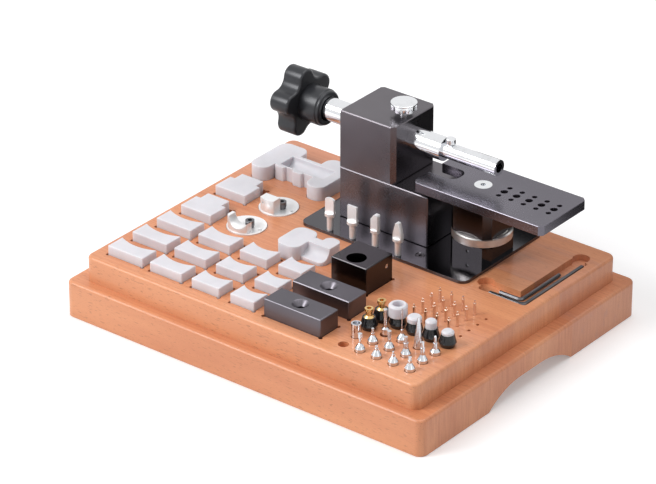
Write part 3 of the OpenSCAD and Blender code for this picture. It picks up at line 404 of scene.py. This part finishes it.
class Finishes:
    """Every finish of the object, built once and looked up by name."""

    def __init__(self) -> None:
        """Build all the materials."""
        chrome = (0.80, 0.81, 0.83)
        self.beech_plinth = Beech("varnished_beech_plinth").material()
        self.beech_board = Beech("varnished_beech_board", offset=4.7).material()
        self.plate = Anodised("gloss_black_anodised", (0.092, 0.089, 0.098), 0.11).material()
        self.black = Anodised("black_anodised", (0.122, 0.112, 0.124), 0.25).material()
        self.gloss = Anodised("gloss_black_block", (0.048, 0.045, 0.048), 0.15).material()
        self.table = Anodised("satin_grey_anodised", (0.142, 0.133, 0.156), 0.24).material()
        self.anvil = Anodised("dark_grey_anodised", (0.118, 0.110, 0.125), 0.34).material()
        self.knob = Anodised("black_moulded_plastic", (0.024, 0.025, 0.029), 0.30, 0.3).material()
        self.shaft = Metal("ground_steel_shaft", chrome, 0.05, Turning.ALONG_X,
                           0.0000008).material()
        self.turned = Metal("turned_steel", chrome, 0.16, Turning.ALONG_Z).material()
        self.bright = Metal("plated_steel", chrome, 0.14).material()
        self.pusher = Metal("plated_pusher_steel", (0.66, 0.67, 0.70), 0.09,
                            Turning.ALONG_Z).material()
        self.blade = Metal("satin_blade_steel", (0.86, 0.86, 0.87), 0.36, Turning.ALONG_Z,
                           metallic=0.45).material()
        # The pins' warm tint is a painted reflection of the wooden base, put into the steel's
        # colour.
        self.pin = Metal("pin_steel_painted_wood_reflection", (0.80, 0.66, 0.56), 0.16,
                         Turning.ALONG_Z).material()
        self.knurled = Metal("knurled_steel", (0.72, 0.70, 0.68), 0.26, Turning.ALONG_Z).material()
        self.key_steel = Metal("blackened_steel", (0.16, 0.16, 0.17), 0.28).material()
        self.brass = Metal("turned_brass", (0.80, 0.55, 0.24), 0.20, Turning.ALONG_Z).material()
        self.nylon = Nylon().material()
        self.rubber = Rubber().material()


class Shape:
    """A bmesh in millimetres that ends as one piece of the object."""

    def __init__(self) -> None:
        """Start empty."""
        self.bm = bmesh.new()

    @classmethod
    def turned(cls, profile: list[Point], steps: int = 48) -> "Shape":
        """Turn a profile round Z.

        Args:
            profile: (radius, height) pairs from the foot to the top.
            steps: Facets round the piece.

        Returns:
            The closed shape.
        """
        shape = cls()
        verts = [shape.bm.verts.new((radius, 0.0, height)) for radius, height in profile]
        edges = [shape.bm.edges.new(pair) for pair in zip(verts, verts[1:])]
        bmesh.ops.spin(shape.bm, geom=verts + edges, cent=(0, 0, 0), axis=(0, 0, 1),
                       angle=math.tau, steps=steps, use_merge=True)
        return shape.closed()

    @classmethod
    def prism(cls, outline: list[Point], low: float, high: float) -> "Shape":
        """Raise an outline along Z.

        Args:
            outline: Its corners in order.
            low: Height of the lower face.
            high: Height of the upper face.

        Returns:
            The closed shape.
        """
        shape = cls()
        face = shape.bm.faces.new([shape.bm.verts.new((x, y, low)) for x, y in outline])
        grown = bmesh.ops.extrude_face_region(shape.bm, geom=[face])["geom"]
        top = [item for item in grown if isinstance(item, bmesh.types.BMVert)]
        bmesh.ops.translate(shape.bm, verts=top, vec=(0, 0, high - low))
        return shape.closed()

    @classmethod
    def copy_of(cls, node: str) -> "Shape":
        """Merged copy of a CAD node's mesh with its flat faces joined."""
        shape = cls()
        shape.bm.from_mesh(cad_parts[node].data)
        bmesh.ops.scale(shape.bm, vec=(1 / MM,) * 3, verts=shape.bm.verts)
        bmesh.ops.remove_doubles(shape.bm, verts=shape.bm.verts, dist=MERGE_MM)
        bmesh.ops.dissolve_limit(shape.bm, angle_limit=FLAT_ANGLE, verts=shape.bm.verts,
                                 edges=shape.bm.edges)
        return shape

    def closed(self) -> "Shape":
        """Merge doubles and turn the faces outwards."""
        bmesh.ops.remove_doubles(self.bm, verts=self.bm.verts, dist=0.0005)
        bmesh.ops.recalc_face_normals(self.bm, faces=self.bm.faces)
        for face in self.bm.faces:
            face.smooth = True
        return self

    def soften(self, width: float, segments: int = 2, angle: float = 30.0) -> "Shape":
        """Bevel every edge sharper than an angle. Flat sides stay flat shaded.

        Args:
            width: Bevel width in millimetres.
            segments: Facets across the bevel.
            angle: Smallest angle that counts as sharp, in degrees.

        Returns:
            The same shape.
        """
        limit = math.radians(angle)
        self.bm.normal_update()
        sharp = [edge for edge in self.bm.edges
                 if len(edge.link_faces) == 2 and edge.calc_face_angle(0.0) > limit]
        flat = {self._plane(face) for face in self.bm.faces
                if not any(CURVE_ANGLE < edge.calc_face_angle(0.0) < limit
                           for edge in face.edges)}
        bmesh.ops.bevel(self.bm, geom=sharp, offset=width, offset_type="OFFSET",
                        segments=segments, profile=0.5, affect="EDGES", clamp_overlap=True,
                        material=-1, loop_slide=True)
        self.bm.normal_update()
        for face in self.bm.faces:
            face.smooth = self._plane(face) not in flat
        return self

    @staticmethod
    def _plane(face: bmesh.types.BMFace) -> tuple[float, ...]:
        """Plane of a face, rounded so that the faces of one flat side share it."""
        normal = face.normal
        distance = normal.dot(face.calc_center_median())
        return (*(round(part, 2) for part in normal), round(distance, 2))

    def turn(self, axis: str, degrees: float) -> "Shape":
        """Turn the shape about an axis through the origin."""
        bmesh.ops.rotate(self.bm, verts=self.bm.verts, cent=(0, 0, 0),
                         matrix=Matrix.Rotation(math.radians(degrees), 3, axis))
        return self

    def move(self, x: float, y: float, z: float = 0.0) -> "Shape":
        """Move the shape."""
        bmesh.ops.translate(self.bm, verts=self.bm.verts, vec=(x, y, z))
        return self

    def piece(self, name: str, body: str, finish: bpy.types.Material,
              node: str) -> bpy.types.Object:
        """Make the finished piece and let it stand for its CAD node.

        Args:
            name: Name of the new object.
            body: Body that it rides on.
            finish: Its material.
            node: CAD node that it replaces.

        Returns:
            The new object.
        """
        bmesh.ops.scale(self.bm, vec=(MM,) * 3, verts=self.bm.verts)
        mesh = bpy.data.meshes.new(name)
        smooth = [face.smooth for face in self.bm.faces]
        self.bm.to_mesh(mesh)
        self.bm.free()
        if "custom_normal" in mesh.attributes:
            mesh.attributes.remove(mesh.attributes["custom_normal"])
        mesh.materials.append(finish)
        mesh.set_sharp_from_angle(angle=SMOOTH_ANGLE)
        mesh.polygons.foreach_set("use_smooth", smooth)
        piece = bpy.data.objects.new(name, mesh)
        bpy.context.scene.collection.objects.link(piece)
        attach(piece, body)
        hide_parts(node)
        LOG.info("piece %s: %d faces, rides on %s", name, len(mesh.polygons), body)
        return piece


def arc(centre: Point, radius: float, start: float, end: float, steps: int) -> list[Point]:
    """Points along an arc.

    Args:
        centre: The arc's centre.
        radius: Its radius.
        start: First angle in degrees.
        end: Last angle in degrees.
        steps: Number of chords.

    Returns:
        Points from start to end, both included.
    """
    angles = [math.radians(start + (end - start) * i / steps) for i in range(steps + 1)]
    return [(centre[0] + radius * math.cos(a), centre[1] + radius * math.sin(a)) for a in angles]


def polar(radius: float, degrees: float) -> Point:
    """Point at a distance and angle from the origin."""
    return radius * math.cos(math.radians(degrees)), radius * math.sin(math.radians(degrees))


def box_mm(node: str) -> tuple[Vector, Vector]:
    """Lowest and highest corner of a CAD node in millimetres."""
    low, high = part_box(node)
    return low / MM, high / MM


def dress(node: str, finish: bpy.types.Material) -> None:
    """Give a CAD node that stays in view its finish."""
    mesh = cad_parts[node].data
    if not mesh.materials:
        mesh.materials.append(finish)
    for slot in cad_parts[node].material_slots:
        slot.material = finish
    LOG.info("node %s: %s", node, finish.name)


@dataclass
class WoodenBase:
    """Plinth and tool board."""

    finishes: Finishes

    def build(self) -> None:
        """Dress the wood."""
        dress("plinth", self.finishes.beech_plinth)
        dress("tool_board", self.finishes.beech_board)


@dataclass
class MachineHead:
    """Machine plate, body, head and the screws that hold them."""

    finishes: Finishes
    plate_edge: float = 0.45
    block_edge: float = 0.3

    def build(self) -> None:
        """Ease the plate and the blocks, and dress the screws."""
        Shape.copy_of("machine_plate").soften(self.plate_edge, 3).piece(
            "machine_plate_eased", "base", self.finishes.plate, "machine_plate")
        for node in ("body_block", "head_block"):
            Shape.copy_of(node).soften(self.block_edge, 2).piece(
                f"{node}_eased", "base", self.finishes.black, node)
        dress("plate_screws", self.finishes.gloss)
        for node in ("body_bolts", "pedestal_screws"):
            dress(node, self.finishes.key_steel)


@dataclass
class PressSpindle:
    """Quill, spindle, star knob and nose screw."""

    finishes: Finishes
    lobes: int = 5
    lobe_radius: float = 10.0
    reach: float = 33.0
    valley: float = 23.5
    lobe_turn: float = 24.0
    disc: float = 21.0
    edge: float = 2.2
    hub_radius: float = 17.5
    hub_bore: float = 11.5
    hub_length: float = 22.5

    def knob_outline(self) -> list[Point]:
        """Lobes joined by valleys that are tangent to them."""
        half = math.pi / self.lobes
        out = self.reach - self.lobe_radius
        cut = (self.valley**2 + out**2 - 2 * out * self.valley * math.cos(half)
               - self.lobe_radius**2) / (
            2 * (self.lobe_radius + out * math.cos(half) - self.valley))
        far = self.valley + cut
        lean = math.degrees(math.atan2(far * math.sin(half), far * math.cos(half) - out))
        spread = lean - math.degrees(half)
        points: list[Point] = []
        for i in range(self.lobes):
            middle = self.lobe_turn + 360 * i / self.lobes
            points += arc(polar(out, middle), self.lobe_radius, middle - lean, middle + lean, 14)
            turn = middle + 180 / self.lobes
            points += arc(polar(far, turn), cut, turn + 180 + spread, turn + 180 - spread, 8)[1:-1]
        return points

    def build(self) -> None:
        """Build the knob's lobes and hub, and dress the shafts and screws."""
        low, high = box_mm("star_knob")
        y = (low.y + high.y) / 2
        z = self._axis_height()
        knob = Shape.prism(self.knob_outline(), 0, self.disc).soften(self.edge, 5, 50)
        knob.turn("Y", 90).turn("X", 90).move(low.x, y, z)
        knob.piece("star_knob_lobes", "spindle_body", self.finishes.knob, "star_knob")
        waist = self.hub_radius - 1.1
        hub = [(0, 0), (self.hub_radius, 0), (self.hub_radius, 18.6), (waist, 19.6), (waist, 21.4),
               (15.2, self.hub_length), (self.hub_bore, self.hub_length), (self.hub_bore, 3.0),
               (0, 3.0)]
        Shape.turned(hub, 64).soften(0.5, 2).turn("Y", 90).move(low.x + self.disc, y, z).piece(
            "star_knob_hub", "spindle_body", self.finishes.knob, "star_knob")
        dress("quill", self.finishes.shaft)
        dress("spindle", self.finishes.shaft)
        dress("nose_screw", self.finishes.bright)
        dress("bit_grub_screw", self.finishes.key_steel)
        dress("knob_pin", self.finishes.key_steel)

    @staticmethod
    def _axis_height() -> float:
        """Height of the spindle's axis."""
        low, high = box_mm("quill")
        return (low.z + high.z) / 2


@dataclass
class ClampScrew:
    """Fluted hand screw on the head and the pad under it."""

    finishes: Finishes
    radius: float = 12.0
    flutes: int = 6
    flute_radius: float = 4.5
    flute_depth: float = 2.0
    flute_turn: float = -52.0
    disc: float = 1.4
    shank: float = 4.0
    head: float = 7.3
    head_lap: float = 0.3
    shank_lap: float = 0.5

    def outline(self) -> list[Point]:
        """Round head with hollow flutes."""
        far = self.radius + self.flute_radius - self.flute_depth
        half = math.degrees(math.acos((self.radius**2 + far**2 - self.flute_radius**2)
                                      / (2 * self.radius * far)))
        inner = math.degrees(math.acos((far**2 + self.flute_radius**2 - self.radius**2)
                                       / (2 * far * self.flute_radius)))
        step = 360 / self.flutes
        points: list[Point] = []
        for i in range(self.flutes):
            turn = self.flute_turn + i * step
            points += arc(polar(far, turn), self.flute_radius, turn + 180 + inner,
                          turn + 180 - inner, 8)
            points += arc((0, 0), self.radius, turn + half, turn + step - half, 8)[1:-1]
        return points

    def build(self) -> None:
        """Build the head, its top disc and the shank, and dress the pad."""
        low, high = box_mm("clamp_screw")
        x, y = (low.x + high.x) / 2, (low.y + high.y) / 2
        foot = high.z - self.head
        head = Shape.prism(self.outline(), foot, high.z - self.disc + self.head_lap)
        head.soften(0.4, 2, 60).move(x, y).piece(
            "clamp_screw_head", "clamp_screw_body", self.finishes.turned, "clamp_screw")
        shank_top = foot + self.shank_lap
        for name, profile in (
            ("clamp_screw_disc", [(0, high.z - self.disc), (self.radius, high.z - self.disc),
                                  (self.radius, high.z), (0, high.z)]),
            ("clamp_screw_shank", [(0, low.z), (self.shank, low.z), (self.shank, shank_top),
                                   (0, shank_top)]),
        ):
            Shape.turned(profile, 64).soften(0.35, 3).move(x, y).piece(
                name, "clamp_screw_body", self.finishes.turned, "clamp_screw")
        dress("clamp_pad", self.finishes.brass)


@dataclass
class LiftingTable:
    """Table, riser, lift wheel and pedestal."""

    finishes: Finishes
    wheel_radius: float = 27.5
    knurls: int = 150
    knurl_in: float = 0.35
    knurl_gap: float = 0.22
    knurl_rise: float = 0.32
    rim_ease: float = 1.0
    groove_in: float = 2.4
    groove_depth: float = 0.25
    bore: float = 5.05
    edge: float = 0.4

    def build(self) -> None:
        """Knurl the wheel, ease the blocks and dress the rest."""
        low, high = box_mm("lift_wheel")
        x, y = (low.x + high.x) / 2, (low.y + high.y) / 2
        rim = self.wheel_radius - self.knurl_in
        groove = rim - self.groove_in
        floor = high.z - self.groove_depth
        profile = [(self.bore, low.z), (rim - self.rim_ease, low.z), (rim, low.z + 0.9),
                   (rim, high.z - 0.9), (rim - self.rim_ease, high.z), (groove, high.z),
                   (groove - 0.4, floor), (groove - 1.0, floor), (groove - 1.4, high.z),
                   (self.bore, high.z), (self.bore, low.z)]
        wheel = Shape.turned(profile, self.knurls)
        faces = [face for face in wheel.bm.faces
                 if abs(face.normal.z) < 0.1 and face.calc_center_median().xy.length > rim - 0.5]
        bmesh.ops.inset_individual(wheel.bm, faces=faces, thickness=self.knurl_gap,
                                   depth=self.knurl_rise)
        wheel.move(x, y).piece(
            "lift_wheel_knurled", "wheel_body", self.finishes.knurled, "lift_wheel")
        for node, body, finish in (("table", "table_body", self.finishes.table),
                                   ("riser_block", "table_body", self.finishes.gloss),
                                   ("pedestal", "base", self.finishes.gloss)):
            Shape.copy_of(node).soften(self.edge, 2).piece(f"{node}_eased", body, finish, node)
        for node in ("table_screw", "lifting_stud", "riser_dowels", "guide_key"):
            dress(node, self.finishes.bright)


@dataclass
class NylonStore:
    """Jaws and case clamps of white nylon."""

    finishes: Finishes
    edge: float = 0.7
    clamp_edge: float = 1.6
    jaw_depth: float = 20.0
    hollow: float = 5.0
    rows: int = 3
    widths: tuple[int, ...] = (40, 36, 31, 26)

    def jaw_outline(self, width: float) -> list[Point]:
        """Jaw in plan, its back hollowed to the curve of a case."""
        half = width / 2
        radius = (half**2 + self.hollow**2) / (2 * self.hollow)
        centre = (0.0, self.jaw_depth / 2 - self.hollow + radius)
        swing = math.degrees(math.asin(half / radius))
        curve = arc(centre, radius, 270 + swing, 270 - swing, 16)
        return [(-half, -self.jaw_depth / 2), (half, -self.jaw_depth / 2), *curve]

    def jaws(self, node: str) -> None:
        """Build the three jaws of one width."""
        low, high = box_mm(node)
        x = (low.x + high.x) / 2
        pitch = (high.y - low.y - self.jaw_depth) / (self.rows - 1)
        for row in range(self.rows):
            y = low.y + self.jaw_depth / 2 + row * pitch
            shape = Shape.prism(self.jaw_outline(high.x - low.x), low.z, high.z)
            shape.soften(self.edge, 3, 40).move(x, y)
            shape.piece(f"{node}_{row + 1}", "base", self.finishes.nylon, node)

    def build(self) -> None:
        """Build every nylon piece in the board."""
        for width in self.widths:
            self.jaws(f"nylon_jaws_{width}")
        for node, edge in (("stepped_jaws", self.edge), ("large_case_clamp", self.clamp_edge),
                           ("small_case_clamp", self.clamp_edge)):
            Shape.copy_of(node).soften(edge, 4, 40).piece(
                f"{node}_eased", "base", self.finishes.nylon, node)


@dataclass
class AnvilBlocks:
    """Two long blocks and the tall block."""

    finishes: Finishes
    edge: float = 0.3

    def build(self) -> None:
        """Ease the blocks and dress the grub screw."""
        for node, finish in (("front_long_block", self.finishes.anvil),
                             ("rear_long_block", self.finishes.anvil),
                             ("tall_block", self.finishes.gloss)):
            Shape.copy_of(node).soften(self.edge, 2).piece(f"{node}_eased", "base", finish, node)
        dress("tall_block_grub", self.finishes.bright)


@dataclass
class DiscStore:
    """Spring discs with their segments and socket screws."""

    finishes: Finishes
    disc_edge: float = 0.35
    segment_edge: float = 0.4

    def build(self) -> None:
        """Ease the discs and segments and dress the screws."""
        Shape.copy_of("spring_discs").soften(self.disc_edge, 2).piece(
            "spring_discs_eased", "base", self.finishes.blade, "spring_discs")
        for node in ("rear_disc_segment", "front_disc_segment"):
            Shape.copy_of(node).soften(self.segment_edge, 2, 40).piece(
                f"{node}_eased", "base", self.finishes.blade, node)
        dress("disc_screws", self.finishes.key_steel)


@dataclass
class BladeRow:
    """Four case blades in the machine plate."""

    finishes: Finishes
    edge: float = 0.25

    def build(self) -> None:
        """Ease the blades."""
        for node in ("round_blade", "flat_blade", "facet_blade", "point_blade"):
            Shape.copy_of(node).soften(self.edge, 2, 35).piece(
                f"{node}_eased", "base", self.finishes.blade, node)


@dataclass
class PusherStore:
    """Pushers, rubber cones, tips and fine pins."""

    finishes: Finishes

    def build(self) -> None:
        """Dress the stores."""
        for node in ("small_pushers", "cup_pusher", "rod_pusher", "cone_pusher", "pin_pusher"):
            dress(node, self.finishes.pusher)
        dress("fine_pins", self.finishes.pin)
        dress("rubber_cones", self.finishes.rubber)
        dress("brass_tips", self.finishes.brass)
        for node in ("nylon_cap", "cap_tips"):
            dress(node, self.finishes.nylon)


@dataclass
class HexKeys:
    """Two hex keys in their pocket."""

    finishes: Finishes

    def build(self) -> None:
        """Dress the keys."""
        for node in ("large_hex_key", "small_hex_key"):
            dress(node, self.finishes.key_steel)


@dataclass(frozen=True)
class SoftBox:
    """Square lamp that faces the middle of the base."""

    name: str
    place: tuple[float, float, float]
    power: float
    size: float

    def build(self) -> None:
        """Hang the lamp."""
        data = bpy.data.lights.new(self.name, "AREA")
        data.energy = self.power
        data.shape = "SQUARE"
        data.size = self.size
        lamp = bpy.data.objects.new(self.name, data)
        lamp.location = self.place
        lamp.rotation_euler = Vector(self.place).to_track_quat("Z", "Y").to_euler()
        bpy.context.scene.collection.objects.link(lamp)


@dataclass
class Studio:
    """Floor, world, lamps and the camera at the photograph's place."""

    azimuth: float = 38.288
    elevation: float = 28.424
    distance: float = 3.500821
    side: float = -0.020322
    lift: float = 0.064281
    focal_px: float = 3897.635
    image_width: int = 656
    sensor: float = 36.0
    floor_half: float = 6.0
    floor_drop: float = 0.0005
    floor_glow: float = 0.24
    floor_colour: Colour = (0.84, 0.84, 0.85)
    lit_strength: float = 0.36
    seen_strength: float = 1.0
    flag_width: float = 0.34
    flag_height: float = 0.15
    flag_place: tuple[float, float, float] = (0.15, 0.235, 0.076)

    def camera(self) -> None:
        """Place the camera that was solved from the base's edges."""
        turn, rise = math.radians(self.azimuth), math.radians(self.elevation)
        right = Vector((math.cos(turn), math.sin(turn), 0))
        back = Vector((math.sin(turn) * math.cos(rise), -math.cos(turn) * math.cos(rise),
                       math.sin(rise)))
        up = back.cross(right)
        data = bpy.data.cameras.new("camera")
        data.sensor_fit = "HORIZONTAL"
        data.sensor_width = self.sensor
        data.lens = data.sensor_width * self.focal_px / self.image_width
        data.clip_start, data.clip_end = 0.1, 50.0
        camera = bpy.data.objects.new("camera", data)
        eye = right * self.side + up * self.lift + back * self.distance
        turned = Matrix((right, up, back)).transposed().to_4x4()
        camera.matrix_world = Matrix.Translation(eye) @ turned
        bpy.context.scene.collection.objects.link(camera)
        bpy.context.scene.camera = camera

    def floor(self) -> None:
        """Pale floor that shows white to the camera and keeps the object's shadow."""
        bm = bmesh.new()
        bmesh.ops.create_grid(bm, x_segments=1, y_segments=1, size=self.floor_half)
        mesh = bpy.data.meshes.new("floor")
        bm.to_mesh(mesh)
        bm.free()
        floor = bpy.data.objects.new("floor", mesh)
        floor.location.z = -self.floor_drop
        bpy.context.scene.collection.objects.link(floor)
        paint = Painter("pale_floor")
        seen = self._seen(paint)
        paint.set(Base_Color=self.floor_colour, Roughness=0.7)
        lit = paint.node("Emission", {}, {"Color": (1, 1, 1, 1), "Strength": self.floor_glow})
        none = paint.node("Emission", {}, {"Color": (1, 1, 1, 1), "Strength": 0.0})
        glow = paint.node("MixShader", {}, {0: seen, 1: paint.out(none), 2: paint.out(lit)})
        both = paint.node("AddShader", {}, {0: Sock(paint.tree, paint.shader.outputs[0]),
                                            1: paint.out(glow)})
        paint.feed(paint.tree.nodes["Material Output"].inputs["Surface"], paint.out(both))
        mesh.materials.append(paint.material)

    def flag(self) -> None:
        """Black card behind the machine that only its polished faces see."""
        bm = bmesh.new()
        bmesh.ops.create_grid(bm, x_segments=1, y_segments=1, size=0.5)
        bmesh.ops.scale(bm, vec=(self.flag_width, self.flag_height, 1.0), verts=bm.verts)
        bmesh.ops.rotate(bm, verts=bm.verts, cent=(0, 0, 0),
                         matrix=Matrix.Rotation(math.pi / 2, 3, "X"))
        bmesh.ops.translate(bm, verts=bm.verts, vec=self.flag_place)
        mesh = bpy.data.meshes.new("black_flag")
        bm.to_mesh(mesh)
        bm.free()
        flag = bpy.data.objects.new("black_flag", mesh)
        bpy.context.scene.collection.objects.link(flag)
        paint = Painter("black_card")
        paint.set(Base_Color=(0.004, 0.004, 0.004), Roughness=1.0)
        mesh.materials.append(paint.material)
        flag.visible_camera = flag.visible_diffuse = flag.visible_shadow = False

    @staticmethod
    def _seen(paint: Painter) -> Sock:
        """1 on camera, glossy and transmission rays, or else 0."""
        path = paint.node("LightPath", {}, {})
        rays = [paint.out(path, f"Is {kind} Ray") for kind in ("Camera", "Glossy", "Transmission")]
        return rays[0].math("MAXIMUM", rays[0].math("MAXIMUM", rays[0], rays[1]), rays[2])

    def world(self) -> None:
        """White surroundings for the eye and gentle light for the object."""
        world = bpy.data.worlds.new("world")
        bpy.context.scene.world = world
        world.use_nodes = True
        paint = Painter.of_world(world)
        added = self.seen_strength - self.lit_strength
        paint.set(Color=(1.0, 1.0, 1.0), Strength=self.lit_strength + added * self._seen(paint))

    @staticmethod
    def lamps() -> None:
        """Two soft boxes and a weak fill."""
        SoftBox("key_box", (-1.3, -1.9, 1.9), 62.0, 1.4).build()
        SoftBox("top_box", (0.2, 0.5, 2.3), 25.0, 1.8).build()
        SoftBox("fill_box", (2.3, -0.4, 1.0), 2.5, 1.2).build()

    def build(self) -> None:
        """Set up the whole studio."""
        scene = bpy.context.scene
        scene.view_settings.view_transform = "Standard"
        self.camera()
        self.floor()
        self.flag()
        self.world()
        self.lamps()


def main() -> None:
    """Build every sub-assembly in order."""
    logging.basicConfig(level=logging.INFO, format="%(message)s")
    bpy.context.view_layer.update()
    finishes = Finishes()
    Studio().build()
    for assembly in (WoodenBase, MachineHead, PressSpindle, ClampScrew, LiftingTable, NylonStore,
                     AnvilBlocks, DiscStore, BladeRow, PusherStore, HexKeys):
        assembly(finishes).build()


if __name__ == "__main__":
    main()
